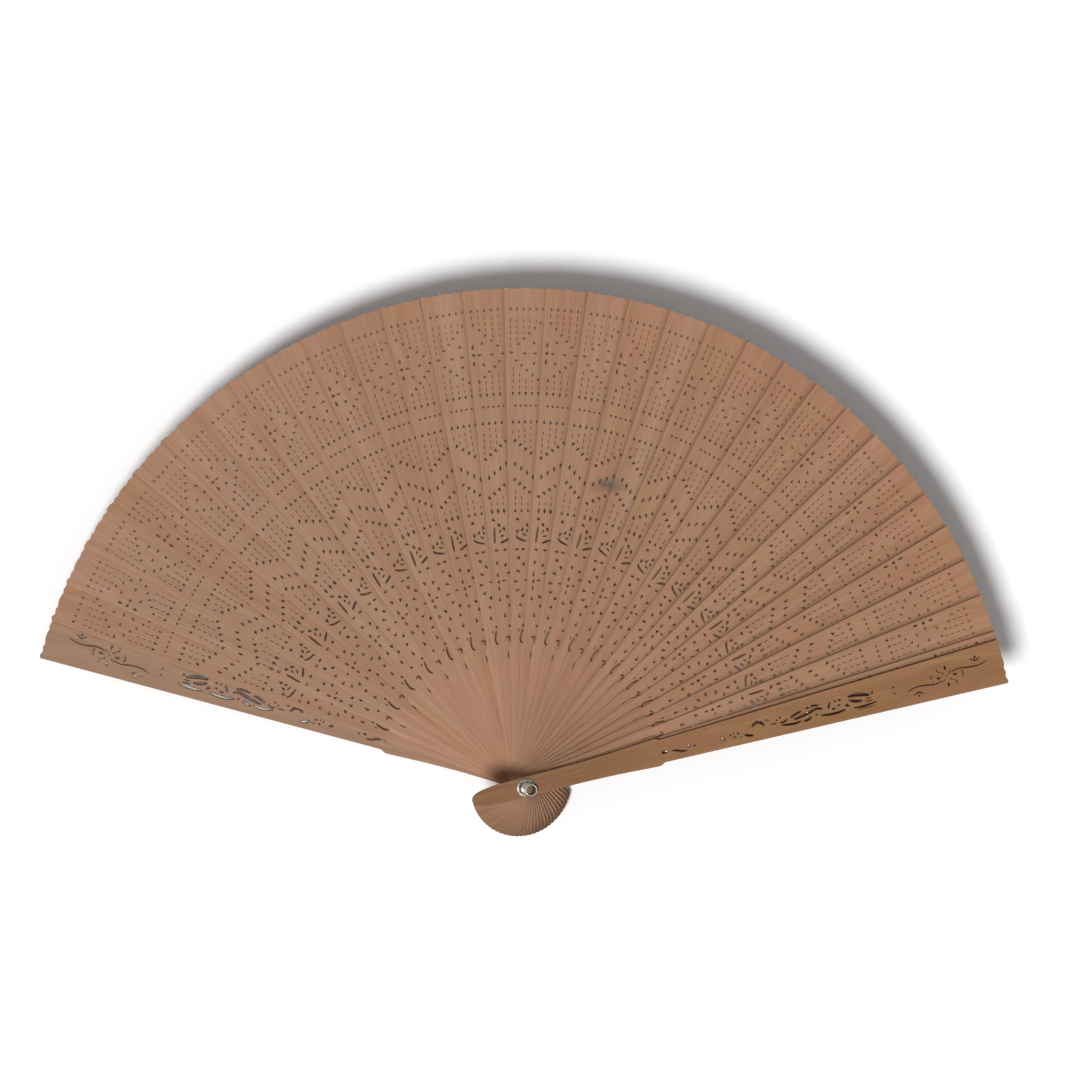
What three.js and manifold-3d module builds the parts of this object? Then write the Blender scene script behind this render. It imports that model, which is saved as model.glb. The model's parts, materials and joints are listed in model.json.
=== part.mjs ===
// A folding fan of thin pierced wooden sticks between two thicker guards, all turning on one rivet.
// Millimetres. The fan lies flat and open: +Z is the rivet's axis and the fan opens about +Y.
// z = 0 is the flat underside of the rivet's back head.

import * as THREE from 'three';
import { mergeVertices } from 'three/addons/utils/BufferGeometryUtils.js';
import Module from 'manifold-3d';

// The outline that sticks and guards share, measured from the rivet's axis
const TIP_REACH = 179.3;
const TAIL_REACH = 19.6;
const FOOT_REACH = 51.8;
const TIP_WIDTH = 16.4;
const FOOT_WIDTH = 8.4;
const SHOULDER_WIDTH = 10.1;
const SHANK_WIDTH = 7.2;
const NOTCH_HEIGHT = 3.4;
const SCALLOP_DEPTH = 0.5;

// Points of the scalloped tip: a share of the half width, and a share of the scallop's depth
const TIP_SCALLOPS = [[0, 0.4], [0.32, 1], [0.48, 0.6], [0.7, 1], [0.87, 0], [1, 1]];

// Points of the flank: how far it has narrowed from shoulder to shank, and a share of the shoulder's height
const FLANK = [[0, 1], [0.75, 0.68], [1, 0.36], [1, 0]];
const FLANK_STEPS = 4;
const TAIL_TAPER = 0.92;
const TAIL_SHARE = 0.6;
const TAIL_TURNS = [50, 75];

// Layers along the rivet
const STICK_THICKNESS = 0.6;
const GUARD_THICKNESS = 1.5;
const LAYER_GAP = 0.1;

// Angles between neighbours when the fan is open, from the back guard on the left to the front guard
const OPEN_STEPS = [
  { count: 2, degrees: 4.6 },
  { count: 6, degrees: 5.0 },
  { count: 14, degrees: 4.84 },
  { count: 9, degrees: 4.49 },
  { count: 1, degrees: 1.0 },
];

// The rivet and its two washers
const SHANK_RADIUS = 1.15;
const RIVET_CLEARANCE = 0.35;
const BACK_HEAD_RADIUS = 2.6;
const BACK_HEAD_HEIGHT = 0.7;
const BACK_HEAD_FLAT = 0.85;
const WASHER_RADIUS = 3.4;
const WASHER_THICKNESS = 0.4;
const COLLAR_RADIUS = 2.5;
const COLLAR_HEIGHT = 0.6;
const COLLAR_TAPER = 0.9;
const EYELET_RADIUS = 2.2;
const EYELET_WALL = 0.45;
const EYELET_HEIGHT = 1.3;
const EYELET_LEAN = 1.2;
const EYELET_LEAN_DEGREES = -23;
const ROUND_STEPS = 24;
const ARC_STEPS = 5;

// Piercings of every slat
const DROP_WIDTH = 1.4;
const DROP_LENGTH = 2.1;
const CORD_HOLE_WIDTH = 0.9;
const CORD_HOLE_COUNT = 5;
const CORD_HOLE_PITCH = 1.85;
const CORD_FROM_TIP = 42.5;

// Lines of piercings on an odd stick. Each end is a share of the half width, positive to the right, and a
// distance from the tip. turn is how far a drop's point is turned from the tip, anticlockwise.
// An even stick mirrors the lines of drops, but not the level row at the top.
const PIERCINGS_IN_LINE = 4;
const TOP_ROW = { from: [-0.72, 7.5], to: [0.15, 7.5] };
const DROP_LINES = [
  { from: [0.65, 12.8], to: [-0.1, 18.4], turn: -146 },
  { from: [-0.47, 26.2], to: [0.34, 31.3], turn: -56 },
  { from: [-0.59, 55.2], to: [0.32, 59.9], turn: 145 },
  { from: [-0.56, 63.6], to: [0.48, 68.3], turn: 0 },
];

// The guards' flower and scrolled leaves
const GUARD_CORD_HOLE_PITCH = 2.25;
const GUARD_CORD_HOLE_COUNT = 2;
const FLOWER_FROM_TIP = 22.5;
const PETAL_REACH = 2.6;
const LEAF_COUNT = 6;
const LEAF_LENGTH = 5.6;
const LEAF_PITCH = 8;
const LEAF_LEAN = 20;
const LEAVES_BELOW_CORD = 10;

const degrees = THREE.MathUtils.degToRad;
const steps = OPEN_STEPS.flatMap(({ count, degrees: angle }) => Array(count).fill(angle));
const openAngle = steps.reduce((sum, step) => sum + step, 0);
const stickCount = steps.length - 1;

// Heights of the layers, from the back head upwards
const guardBottom = BACK_HEAD_HEIGHT + WASHER_THICKNESS;
const firstStickBottom = guardBottom + GUARD_THICKNESS + LAYER_GAP;
const stickPitch = STICK_THICKNESS + LAYER_GAP;
const frontGuardBottom = firstStickBottom + stickCount * stickPitch;
const frontWasherBottom = frontGuardBottom + GUARD_THICKNESS;
const frontWasherTop = frontWasherBottom + WASHER_THICKNESS;
const collarTop = frontWasherTop + COLLAR_HEIGHT;

const wood = { roughness: 0.62, metalness: 0 };
const steel = { color: 0xb9b7b0, roughness: 0.35, metalness: 1 };

// Half of the outline, from the middle of the scalloped tip down to the middle of the rounded tail
function halfOutline() {
  const tip = TIP_SCALLOPS.map(([share, dip]) =>
    new THREE.Vector2(share * TIP_WIDTH / 2, TIP_REACH - dip * SCALLOP_DEPTH));
  const foot = [
    new THREE.Vector2(FOOT_WIDTH / 2, FOOT_REACH),
    new THREE.Vector2((FOOT_WIDTH + SHOULDER_WIDTH) / 4, FOOT_REACH - NOTCH_HEIGHT / 2),
  ];
  const shoulder = FOOT_REACH - NOTCH_HEIGHT;
  const flank = new THREE.SplineCurve([
    ...FLANK.map(([narrowed, share]) =>
      new THREE.Vector2(THREE.MathUtils.lerp(SHOULDER_WIDTH, SHANK_WIDTH, narrowed) / 2, shoulder * share)),
    new THREE.Vector2(SHANK_WIDTH * TAIL_TAPER / 2, -TAIL_REACH * TAIL_SHARE),
  ]).getPoints(FLANK_STEPS);
  const lastFlank = flank[flank.length - 1];
  const tail = TAIL_TURNS.map((turn) => new THREE.Vector2(
    lastFlank.x * Math.cos(degrees(turn)),
    lastFlank.y - (TAIL_REACH + lastFlank.y) * Math.sin(degrees(turn)),
  ));
  return [...tip, ...foot, ...flank, ...tail, new THREE.Vector2(0, -TAIL_REACH)];
}

// Width of the blade at a distance from the rivet's axis
function bladeWidth(reach) {
  return THREE.MathUtils.mapLinear(reach, FOOT_REACH, TIP_REACH, FOOT_WIDTH, TIP_WIDTH);
}

// A piercing with the given corners about its middle, turned anticlockwise by an angle in degrees
function piercing(x, y, corners, turn) {
  const centre = new THREE.Vector2(x, y);
  return new THREE.Path(corners.map(([across, along]) =>
    new THREE.Vector2(x + across, y + along).rotateAround(centre, degrees(turn))));
}

// A drop has three corners, with its point towards the tip
function drop(x, y, turn) {
  const foot = -DROP_LENGTH / 2;
  return piercing(x, y, [[0, -foot], [-DROP_WIDTH / 2, foot], [DROP_WIDTH / 2, foot]], turn);
}

// A lozenge has four corners: a leaf, a cord hole or a piercing of the top row
function lozenge(x, y, width, length, turn = 0) {
  return piercing(x, y, [[0, length / 2], [-width / 2, 0], [0, -length / 2], [width / 2, 0]], turn);
}

// Evenly spaced places on the blade between two ends. hand is 1, or -1 for the mirror image.
function placesBetween(from, to, hand = 1) {
  return Array.from({ length: PIERCINGS_IN_LINE }, (_, i) => {
    const way = i / (PIERCINGS_IN_LINE - 1);
    const reach = TIP_REACH - THREE.MathUtils.lerp(from[1], to[1], way);
    const share = hand * THREE.MathUtils.lerp(from[0], to[0], way);
    return [share * bladeWidth(reach) / 2, reach];
  });
}

function cordHoles(count, pitch) {
  return Array.from({ length: count }, (_, i) =>
    lozenge((i - (count - 1) / 2) * pitch, TIP_REACH - CORD_FROM_TIP, CORD_HOLE_WIDTH, CORD_HOLE_WIDTH));
}

function rivetHole() {
  return new THREE.Path().absarc(0, 0, SHANK_RADIUS + RIVET_CLEARANCE, 0, 2 * Math.PI, false);
}

// A flat slat lying in XY with its rivet hole at the origin
function slatGeometry(piercings, thickness) {
  const right = halfOutline();
  const left = right.slice(1, -1).reverse().map(({ x, y }) => new THREE.Vector2(-x, y));
  const shape = new THREE.Shape([...right, ...left]);
  shape.holes = [rivetHole(), ...piercings];
  const options = { depth: thickness, bevelEnabled: false, curveSegments: ARC_STEPS };
  return new THREE.ExtrudeGeometry(shape, options);
}

// An inner stick: the top row, half a diamond, the cord holes and two zigzags that run on
// from stick to stick
function stickPiercings(index) {
  const hand = index % 2 ? 1 : -1;
  return [
    ...placesBetween(TOP_ROW.from, TOP_ROW.to).map(([x, y]) => lozenge(x, y, DROP_WIDTH, DROP_LENGTH)),
    ...DROP_LINES.flatMap(({ from, to, turn }) =>
      placesBetween(from, to, hand).map(([x, y]) => drop(x, y, hand * turn))),
    ...cordHoles(CORD_HOLE_COUNT, CORD_HOLE_PITCH),
  ];
}

// A guard: a flower near the tip, two cord holes and a column of leaves down the blade.
// side is 1 for the front guard and -1 for the back guard, its mirror image.
function guardPiercings(side) {
  const flower = TIP_REACH - FLOWER_FROM_TIP;
  const petals = [0, 90, 180, 270].map((turn) => {
    const away = new THREE.Vector2(0, -PETAL_REACH).rotateAround(new THREE.Vector2(), degrees(turn));
    return drop(away.x, flower + away.y, turn);
  });
  const leaves = Array.from({ length: LEAF_COUNT }, (_, i) => {
    const hand = side * (i % 2 ? 1 : -1);
    const reach = TIP_REACH - CORD_FROM_TIP - LEAVES_BELOW_CORD - i * LEAF_PITCH;
    return lozenge(hand, reach, DROP_WIDTH, LEAF_LENGTH, hand * LEAF_LEAN);
  });
  return [...cordHoles(GUARD_CORD_HOLE_COUNT, GUARD_CORD_HOLE_PITCH), ...petals, ...leaves];
}

function lathe(profile) {
  const points = profile.map(([radius, height]) => new THREE.Vector2(radius, height));
  return new THREE.LatheGeometry(points, ROUND_STEPS).rotateX(Math.PI / 2);
}

function washerGeometry() {
  const bore = SHANK_RADIUS + RIVET_CLEARANCE;
  return lathe([
    [bore, 0],
    [WASHER_RADIUS, 0],
    [WASHER_RADIUS, WASHER_THICKNESS],
    [bore, WASHER_THICKNESS],
    [bore, 0],
  ]);
}

// The joins below need one closed solid with its shared corners merged
const wasm = await Module();
wasm.setup();

function toSolid(geometry) {
  const bare = geometry.clone();
  bare.deleteAttribute('normal');
  bare.deleteAttribute('uv');
  const merged = mergeVertices(bare);
  const vertProperties = Float32Array.from(merged.attributes.position.array);
  const triVerts = Uint32Array.from(merged.index.array);
  return new wasm.Manifold(new wasm.Mesh({ numProp: 3, vertProperties, triVerts }));
}

function toGeometry(solid) {
  const mesh = solid.getMesh();
  const geometry = new THREE.BufferGeometry();
  geometry.setAttribute('position', new THREE.BufferAttribute(mesh.vertProperties, 3));
  geometry.setIndex(new THREE.BufferAttribute(mesh.triVerts, 1));
  geometry.computeVertexNormals();
  return geometry;
}

// Back head, shank and collar in one turning, joined to an open eyelet that leans to one side
function rivetGeometry() {
  const body = lathe([
    [0, 0],
    [BACK_HEAD_RADIUS * BACK_HEAD_FLAT, 0],
    [BACK_HEAD_RADIUS, BACK_HEAD_HEIGHT / 2],
    [BACK_HEAD_RADIUS, BACK_HEAD_HEIGHT],
    [SHANK_RADIUS, BACK_HEAD_HEIGHT],
    [SHANK_RADIUS, frontWasherTop],
    [COLLAR_RADIUS, frontWasherTop],
    [COLLAR_RADIUS * COLLAR_TAPER, collarTop],
    [0, collarTop],
  ]);
  const eyelet = lathe([
    [EYELET_RADIUS - EYELET_WALL, COLLAR_HEIGHT / 2],
    [EYELET_RADIUS, COLLAR_HEIGHT / 2],
    [EYELET_RADIUS, EYELET_HEIGHT],
    [EYELET_RADIUS - EYELET_WALL, EYELET_HEIGHT],
    [EYELET_RADIUS - EYELET_WALL, COLLAR_HEIGHT / 2],
  ]);
  const lean = degrees(EYELET_LEAN_DEGREES);
  eyelet.translate(EYELET_LEAN * Math.cos(lean), EYELET_LEAN * Math.sin(lean), frontWasherTop);
  return toGeometry(toSolid(body).add(toSolid(eyelet)));
}

const group = new THREE.Group();

function addPiece(name, geometry, look, height, angle = 90) {
  const mesh = new THREE.Mesh(geometry, new THREE.MeshStandardMaterial(look));
  mesh.name = name;
  mesh.position.z = height;
  mesh.rotation.z = degrees(angle - 90);
  group.add(mesh);
}

// The open fan is even about +Y, so its first slat lies half the open angle to the left
const guardLook = { ...wood, color: 0x8f6b50 };
const stickLook = { ...wood, color: 0xa87e60 };
const backGuard = slatGeometry(guardPiercings(-1), GUARD_THICKNESS);
const frontGuard = slatGeometry(guardPiercings(1), GUARD_THICKNESS);
let angle = 90 + openAngle / 2;
addPiece('back_guard', backGuard, guardLook, guardBottom, angle);
for (let i = 1; i <= stickCount; i += 1) {
  angle -= steps[i - 1];
  const name = `stick_${String(i).padStart(2, '0')}`;
  const bottom = firstStickBottom + (i - 1) * stickPitch;
  addPiece(name, slatGeometry(stickPiercings(i), STICK_THICKNESS), stickLook, bottom, angle);
}
angle -= steps[stickCount];
addPiece('front_guard', frontGuard, guardLook, frontGuardBottom, angle);
addPiece('rivet', rivetGeometry(), steel, 0);
addPiece('back_washer', washerGeometry(), steel, BACK_HEAD_HEIGHT);
addPiece('front_washer', washerGeometry(), steel, frontWasherBottom);

export default group;
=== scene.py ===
# %% [markdown]
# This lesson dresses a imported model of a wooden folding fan. The fan has 31 thin sticks between two thicker
# guards, and all of them turn on one rivet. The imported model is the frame: it says how large each slat is,
# at which height it lies and how far it turns, so everything below is placed from it.

import json
import math
from collections import namedtuple

import bpy
import numpy as np
from mathutils import Matrix, Vector


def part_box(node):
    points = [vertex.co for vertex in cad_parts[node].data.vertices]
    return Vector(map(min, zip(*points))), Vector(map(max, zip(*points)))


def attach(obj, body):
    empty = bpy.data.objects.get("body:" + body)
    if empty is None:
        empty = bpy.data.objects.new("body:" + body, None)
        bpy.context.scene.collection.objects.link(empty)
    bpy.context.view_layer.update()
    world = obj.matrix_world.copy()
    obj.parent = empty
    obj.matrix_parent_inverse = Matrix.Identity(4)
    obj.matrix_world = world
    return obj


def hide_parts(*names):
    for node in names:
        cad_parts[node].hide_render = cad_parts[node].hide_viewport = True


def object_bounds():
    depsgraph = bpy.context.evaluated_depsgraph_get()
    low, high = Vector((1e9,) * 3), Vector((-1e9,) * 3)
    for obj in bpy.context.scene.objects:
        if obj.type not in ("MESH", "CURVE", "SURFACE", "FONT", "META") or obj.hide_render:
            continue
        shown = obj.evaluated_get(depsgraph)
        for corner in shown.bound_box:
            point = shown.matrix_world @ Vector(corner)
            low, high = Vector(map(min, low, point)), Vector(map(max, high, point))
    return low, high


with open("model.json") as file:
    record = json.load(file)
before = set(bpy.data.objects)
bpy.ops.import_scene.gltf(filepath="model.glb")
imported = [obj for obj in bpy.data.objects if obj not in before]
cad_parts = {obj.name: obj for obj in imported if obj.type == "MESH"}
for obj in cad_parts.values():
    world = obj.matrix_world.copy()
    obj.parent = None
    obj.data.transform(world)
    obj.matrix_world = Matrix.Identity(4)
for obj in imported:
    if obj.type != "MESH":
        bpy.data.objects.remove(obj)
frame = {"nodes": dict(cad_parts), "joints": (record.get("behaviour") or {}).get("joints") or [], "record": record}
cad_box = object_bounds()
MM = 0.001
print("frame box", [[round(value / MM, 1) for value in corner] for corner in cad_box])


# %% [markdown]
# Each slat's angle follows from the fan's one fold. The fold's range is the whole open angle, and each
# stick's coupling says which share of it the stick turns through. The fan is even about +Y.

# %% Where each slat lies
record = frame["record"]
fold = next(joint for joint in frame["joints"] if joint["name"] == "fan_fold")
open_angle = fold["range_deg"][1]
joint_of = {joint["child"]: joint["name"] for joint in frame["joints"]}
share_of = {coupling["joint"]: coupling["ratio"] for coupling in record["behaviour"]["couplings"]}
stick_names = sorted(name for name in frame["nodes"] if name.startswith("stick_"))


def slat_angle(body):
    if body == "back_guard":
        return 90 + open_angle / 2
    share = share_of.get(joint_of[body], 1.0)
    return 90 + open_angle * (0.5 - share)


slat_names = ["back_guard", *stick_names, "front_guard"]
turns_to_next = [slat_angle(a) - slat_angle(b) for a, b in zip(slat_names, slat_names[1:])]
print(len(stick_names), "sticks, open by", open_angle, "degrees")


# %% [markdown]
# Every node below is made by one small function, in geometry trees and in materials alike. It adds a node,
# sets its options and fills its inputs, each with a value or with a link from another node's output. The
# inputs are given by name, by number or in the node's own order, and an input that takes many links is
# given a list. One output comes back, ready to be linked on, and it leads to the node's other outputs. Two
# kinds of node come up again and again. Map Range takes a value, the span that it runs over and the span
# that it is mapped to. Mix has sockets for each kind of value, and with colours it mixes its inputs 6 and 7
# by its input 0 into its output 2.

# %% One function that adds a node
def add(tree, kind, inputs=(), output=0, **options):
    node = tree.nodes.new(kind)
    for name, value in options.items():
        setattr(node, name, value)
    for key, value in inputs.items() if isinstance(inputs, dict) else enumerate(inputs):
        for source in value if isinstance(value, list) else [value]:
            if isinstance(source, bpy.types.NodeSocket):
                tree.links.new(source, node.inputs[key])
            else:
                node.inputs[key].default_value = source
    return node.outputs[output]


print("node kinds are named as in", bpy.app.version_string)


# %% [markdown]
# Colours are written as sRGB hex codes, as a colour picker shows them, but a shader works in linear light,
# so one function turns them. Two more put an object in the scene and start a material.

# %% Colours, objects and materials
def in_scene(thing):
    bpy.context.scene.collection.objects.link(thing)
    return thing


def new_material(name):
    """A material with its node tree and its shader."""
    material = bpy.data.materials.new(name)
    material.use_nodes = True
    return material, material.node_tree, material.node_tree.nodes["Principled BSDF"]


def linear(code, alpha=1.0):
    """An sRGB hex colour as the linear colour that a socket takes."""
    channels = [int(code[i:i + 2], 16) / 255 for i in (1, 3, 5)]
    bent = [c / 12.92 if c <= 0.04045 else ((c + 0.055) / 1.055) ** 2.4 for c in channels]
    return (*bent, alpha)


print("mid grey is", round(linear("#808080")[0], 3), "in linear light")


# %% [markdown]
# The photograph looks almost straight down on the fan, a little from its left and from its tip side,
# through a long lens. A long lens keeps near and far slats the same size. The camera is set by the point it
# looks at, its distance and three small angles.

# %% The camera
LOOK_AT = Vector((4.03, 88.31, 13.1)) * MM
DISTANCE = 2600 * MM
LENS = 240.4
SENSOR = 36.0
LEAN_LEFT = math.radians(-5.92)
LEAN_TO_TIPS = math.radians(5.56)
ROLL = math.radians(1.715)

towards = Vector((
    math.sin(LEAN_LEFT) * math.cos(LEAN_TO_TIPS),
    math.sin(LEAN_TO_TIPS),
    math.cos(LEAN_LEFT) * math.cos(LEAN_TO_TIPS),
))
level_right = Vector((0, 1, 0)).cross(towards).normalized()
level_up = towards.cross(level_right)
right = math.cos(ROLL) * level_right + math.sin(ROLL) * level_up
up = math.cos(ROLL) * level_up - math.sin(ROLL) * level_right
lens = bpy.data.cameras.new("camera")
lens.lens = LENS
lens.sensor_width = SENSOR
lens.sensor_fit = "HORIZONTAL"
camera = in_scene(bpy.data.objects.new("camera", lens))
turned_towards = Matrix((right, up, towards)).transposed().to_4x4()
camera.matrix_world = Matrix.Translation(LOOK_AT + DISTANCE * towards) @ turned_towards
bpy.context.scene.camera = camera
print("camera at", [round(value, 3) for value in camera.location])


# %% [markdown]
# The slats are a pale brown, unvarnished hardwood like sandalwood, sawn thin and sanded smooth. That gives
# the eye fine straight streaks along each slat, slow bands of lighter and darker wood, and short dark
# pores. Two attributes of the slats keep this pattern on the wood. grain is each point's place on its own
# slat in millimetres, so the grain runs along every slat whichever way it points. slat is the slat's number
# and moves the pattern on, so that no two slats are alike.

# %% The grain of the wood
STREAK_WIDTH = 0.6
STREAK_LENGTH = 14.0
BAND_WIDTH = 4.0
BAND_LENGTH = 80.0
PORE_WIDTH = 0.2
PORE_LENGTH = 2.2
PORE = "#7a5236"


def grain_noise(tree, place, width, length, detail, roughness=0.5):
    """Noise whose blots are width across a slat and length along it, in millimetres."""
    stretched = add(tree, "ShaderNodeMapping", {"Vector": place, "Scale": (1 / width, 1 / length, 1 / width)})
    return add(tree, "ShaderNodeTexNoise", {
        "Vector": stretched, "Scale": 1.0, "Detail": detail, "Roughness": roughness,
    }, "Fac")


def bare_wood(tree, place, dark, middle, light):
    """The colour of the sanded wood, its streaks, and how far each point is a pore."""
    streaks = grain_noise(tree, place, STREAK_WIDTH, STREAK_LENGTH, 3.0, 0.6)
    bands = grain_noise(tree, place, BAND_WIDTH, BAND_LENGTH, 2.0)
    pores = grain_noise(tree, place, PORE_WIDTH, PORE_LENGTH, 1.0)
    both = add(tree, "ShaderNodeMath", [streaks, bands], operation="ADD")
    tone = add(tree, "ShaderNodeMath", [both, 0.5], operation="MULTIPLY")
    colour = add(tree, "ShaderNodeValToRGB", {"Fac": tone}, "Color")
    elements = colour.node.color_ramp.elements
    elements[0].position = 0.3
    elements[0].color = linear(dark)
    elements[1].position = 0.7
    elements[1].color = linear(light)
    elements.new(0.5).color = linear(middle)
    pore_share = add(tree, "ShaderNodeMapRange", [pores, 0.64, 0.76, 0.0, 0.35])
    colour = add(tree, "ShaderNodeMix", {0: pore_share, 6: colour, 7: linear(PORE)}, 2, data_type="RGBA")
    return colour, streaks, pore_share


# %% [markdown]
# The slats come from different boards. Each is a little lighter or darker and stronger or weaker in colour
# than the next, and those on the right are a little warmer. Within a slat the hue drifts slowly.

# %% One board after another
DRIFT_WIDTH = 9.0
DRIFT_LENGTH = 25.0


def of_its_board(tree, colour, place, slat):
    board = add(tree, "ShaderNodeTexWhiteNoise", {"W": slat}, "Value", noise_dimensions="1D")
    lightness = add(tree, "ShaderNodeMapRange", [board, 0.0, 1.0, 0.975, 1.025])
    warmth = add(tree, "ShaderNodeMapRange", [slat, 1.0, 31.0, 0.96, 1.04])
    own_warmth = add(tree, "ShaderNodeMapRange", [board, 0.0, 1.0, 0.03, -0.03])
    warmth = add(tree, "ShaderNodeMath", [warmth, own_warmth], operation="ADD")
    colour = add(tree, "ShaderNodeHueSaturation", {"Color": colour, "Value": lightness, "Saturation": warmth})
    drift = grain_noise(tree, place, DRIFT_WIDTH, DRIFT_LENGTH, 2.0)
    hue = add(tree, "ShaderNodeMapRange", [drift, 0.3, 0.7, 0.495, 0.505])
    return add(tree, "ShaderNodeHueSaturation", {"Color": colour, "Hue": hue})


# %% [markdown]
# Air has greyed the cut part of each blade. Light and shade are also painted into the colour here. The long
# edges get a pale painted highlight, strongest on the tails. The shanks get painted light and shade, paler
# towards the back guard and darker towards the front one. The sticks' left edges get painted light and shade,
# as if rounded: pale on the left of the fan and dark on its right. All of these are worked out from the point's
# place on its slat: how far it is from the rivet, and how far inside the long edge. A slat's half width grows
# evenly from the rivet to the tip. Each effect has a span of millimetres from the rivet over which it grows or
# fades.

# %% Greyed blades and painted light and shade
BLADE_HALF_AT_PIVOT = 2.6
BLADE_HALF_GROWTH = 0.0315
TAIL_EDGE = 3.4
EDGE_BAND = 0.7
LEFT_EDGE = 0.6
TAIL_WIDENS = (0.0, -6.0)
TAIL_HIGHLIGHT_SPAN = (-4.0, -8.0)
SHANK_LIGHT_AND_SHADE_SPAN = (55.0, 25.0)
LEFT_EDGE_FADES_IN = (35.0, 65.0)
GREY_FADES_IN = (45.0, 60.0)
GREY_FADES_OUT = (150.0, 170.0)
GREY = "#8a725c"


def edge_distance(tree, aside, reach):
    """How far a point lies inside the long edge of its slat, in millimetres."""
    blade_half = add(tree, "ShaderNodeMath", [reach, BLADE_HALF_GROWTH, BLADE_HALF_AT_PIVOT],
                     operation="MULTIPLY_ADD")
    tail_half = add(tree, "ShaderNodeMapRange", [reach, *TAIL_WIDENS, 0.0, TAIL_EDGE])
    half = add(tree, "ShaderNodeMath", [blade_half, tail_half], operation="MAXIMUM")
    from_middle = add(tree, "ShaderNodeMath", [aside], operation="ABSOLUTE")
    return add(tree, "ShaderNodeMath", [half, from_middle], operation="SUBTRACT")


def weathered_and_painted_light(tree, colour, reach, inside, slat, light, greying):
    # Painted highlight: the long edges paler, strongest on the tails.
    highlight_strength = add(tree, "ShaderNodeMapRange", [reach, *TAIL_HIGHLIGHT_SPAN, 0.3, 0.8])
    painted_highlight = add(tree, "ShaderNodeMapRange", [inside, 0.0, EDGE_BAND, highlight_strength, 0.0])
    colour = add(tree, "ShaderNodeMix", {0: painted_highlight, 6: colour, 7: linear(light)}, 2, data_type="RGBA")
    greyed = add(tree, "ShaderNodeMapRange", [reach, *GREY_FADES_IN, 0.0, greying])
    greyed = add(tree, "ShaderNodeMapRange", [reach, *GREY_FADES_OUT, greyed, 0.0])
    colour = add(tree, "ShaderNodeMix", {0: greyed, 6: colour, 7: linear(GREY)}, 2, data_type="RGBA")
    # Painted light and shade on the shanks: paler towards the back guard, darker towards the front one.
    shank_light_and_shade = add(tree, "ShaderNodeMapRange", [slat, 4.0, 28.0, 1.1, 0.79])
    shank_painted_light = add(tree, "ShaderNodeMapRange", [reach, *SHANK_LIGHT_AND_SHADE_SPAN, 1.0, shank_light_and_shade])
    return add(tree, "ShaderNodeHueSaturation", {"Color": colour, "Value": shank_painted_light})


def painted_light_on_left_edges(tree, colour, aside, reach, inside, slat):
    strength = add(tree, "ShaderNodeMapRange", [reach, *LEFT_EDGE_FADES_IN, 0.25, 1.0])
    edge = add(tree, "ShaderNodeMapRange", [inside, 0.0, LEFT_EDGE, strength, 0.0])
    on_left = add(tree, "ShaderNodeMath", [aside, 0.0], operation="LESS_THAN")
    edge = add(tree, "ShaderNodeMath", [edge, on_left], operation="MULTIPLY")
    # Painted light on the left edges on the left of the fan, painted shade on those on its right.
    paler = add(tree, "ShaderNodeMapRange", [slat, 3.0, 16.0, 0.15, 0.0])
    darker = add(tree, "ShaderNodeMapRange", [slat, 16.0, 28.0, 0.0, -0.42])
    tone = add(tree, "ShaderNodeMath", [paler, darker], operation="ADD")
    value = add(tree, "ShaderNodeMath", [edge, tone, 1.0], operation="MULTIPLY_ADD")
    return add(tree, "ShaderNodeHueSaturation", {"Color": colour, "Value": value})


# %% [markdown]
# Painted shade darkens the wood beside the next slat and under it. The attribute shelter says how far a point
# lies under the slat above, in millimetres, and is less than 0 in the open. On the blades the painted shade is
# stronger towards the front guard, and on the tails towards the back one.

# %% Painted shade beside the next slat
BLADE_SHADE_GROWS = (45.0, 100.0)
TAIL_SHADE_GROWS = (-3.0, -10.0)
NEXT_SLAT_SHADE_SHARE = 0.85
NEXT_SLAT_SHADE = "#573d2b"


def painted_shade_by_next_slat(tree, colour, reach, slat):
    shelter = add(tree, "ShaderNodeAttribute", (), "Fac", attribute_name="shelter")
    on_blade = add(tree, "ShaderNodeMapRange", [slat, 2.0, 30.0, 0.2, 1.0])
    on_blade = add(tree, "ShaderNodeMapRange", [reach, *BLADE_SHADE_GROWS, 0.0, on_blade])
    on_tail = add(tree, "ShaderNodeMapRange", [slat, 12.0, 26.0, 1.0, 0.05])
    on_tail = add(tree, "ShaderNodeMapRange", [reach, *TAIL_SHADE_GROWS, 0.0, on_tail])
    share = add(tree, "ShaderNodeMath", [on_blade, on_tail], operation="MAXIMUM")
    share = add(tree, "ShaderNodeMath", [share, NEXT_SLAT_SHADE_SHARE], operation="MULTIPLY")
    starts_at = add(tree, "ShaderNodeMapRange", [reach, *TAIL_SHADE_GROWS, -2.4, -1.1])
    sheltered = add(tree, "ShaderNodeMapRange", [shelter, starts_at, 0.4, 0.0, 1.0])
    sheltered = add(tree, "ShaderNodeMath", [sheltered, 2.0], operation="POWER")
    # Painted shade beside the next slat and under it.
    painted_shade = add(tree, "ShaderNodeMath", [sheltered, share], operation="MULTIPLY")
    return add(tree, "ShaderNodeMix", {0: painted_shade, 6: colour, 7: linear(NEXT_SLAT_SHADE)}, 2, data_type="RGBA")


# %% [markdown]
# One small dark grey smudge lies on the sticks above the flowers. It goes across several sticks, so it is
# placed on the whole fan by Object coordinates and not on one slat, and noise frays its edge.

# %% The smudge
SMUDGE_PLACE = (28.0 * MM, 108.8 * MM, 0)
SMUDGE_RADIUS = 3.2 * MM
SMUDGE_SQUASH = (0.45, 1, 0)
SMUDGE = "#4a4744"


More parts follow.
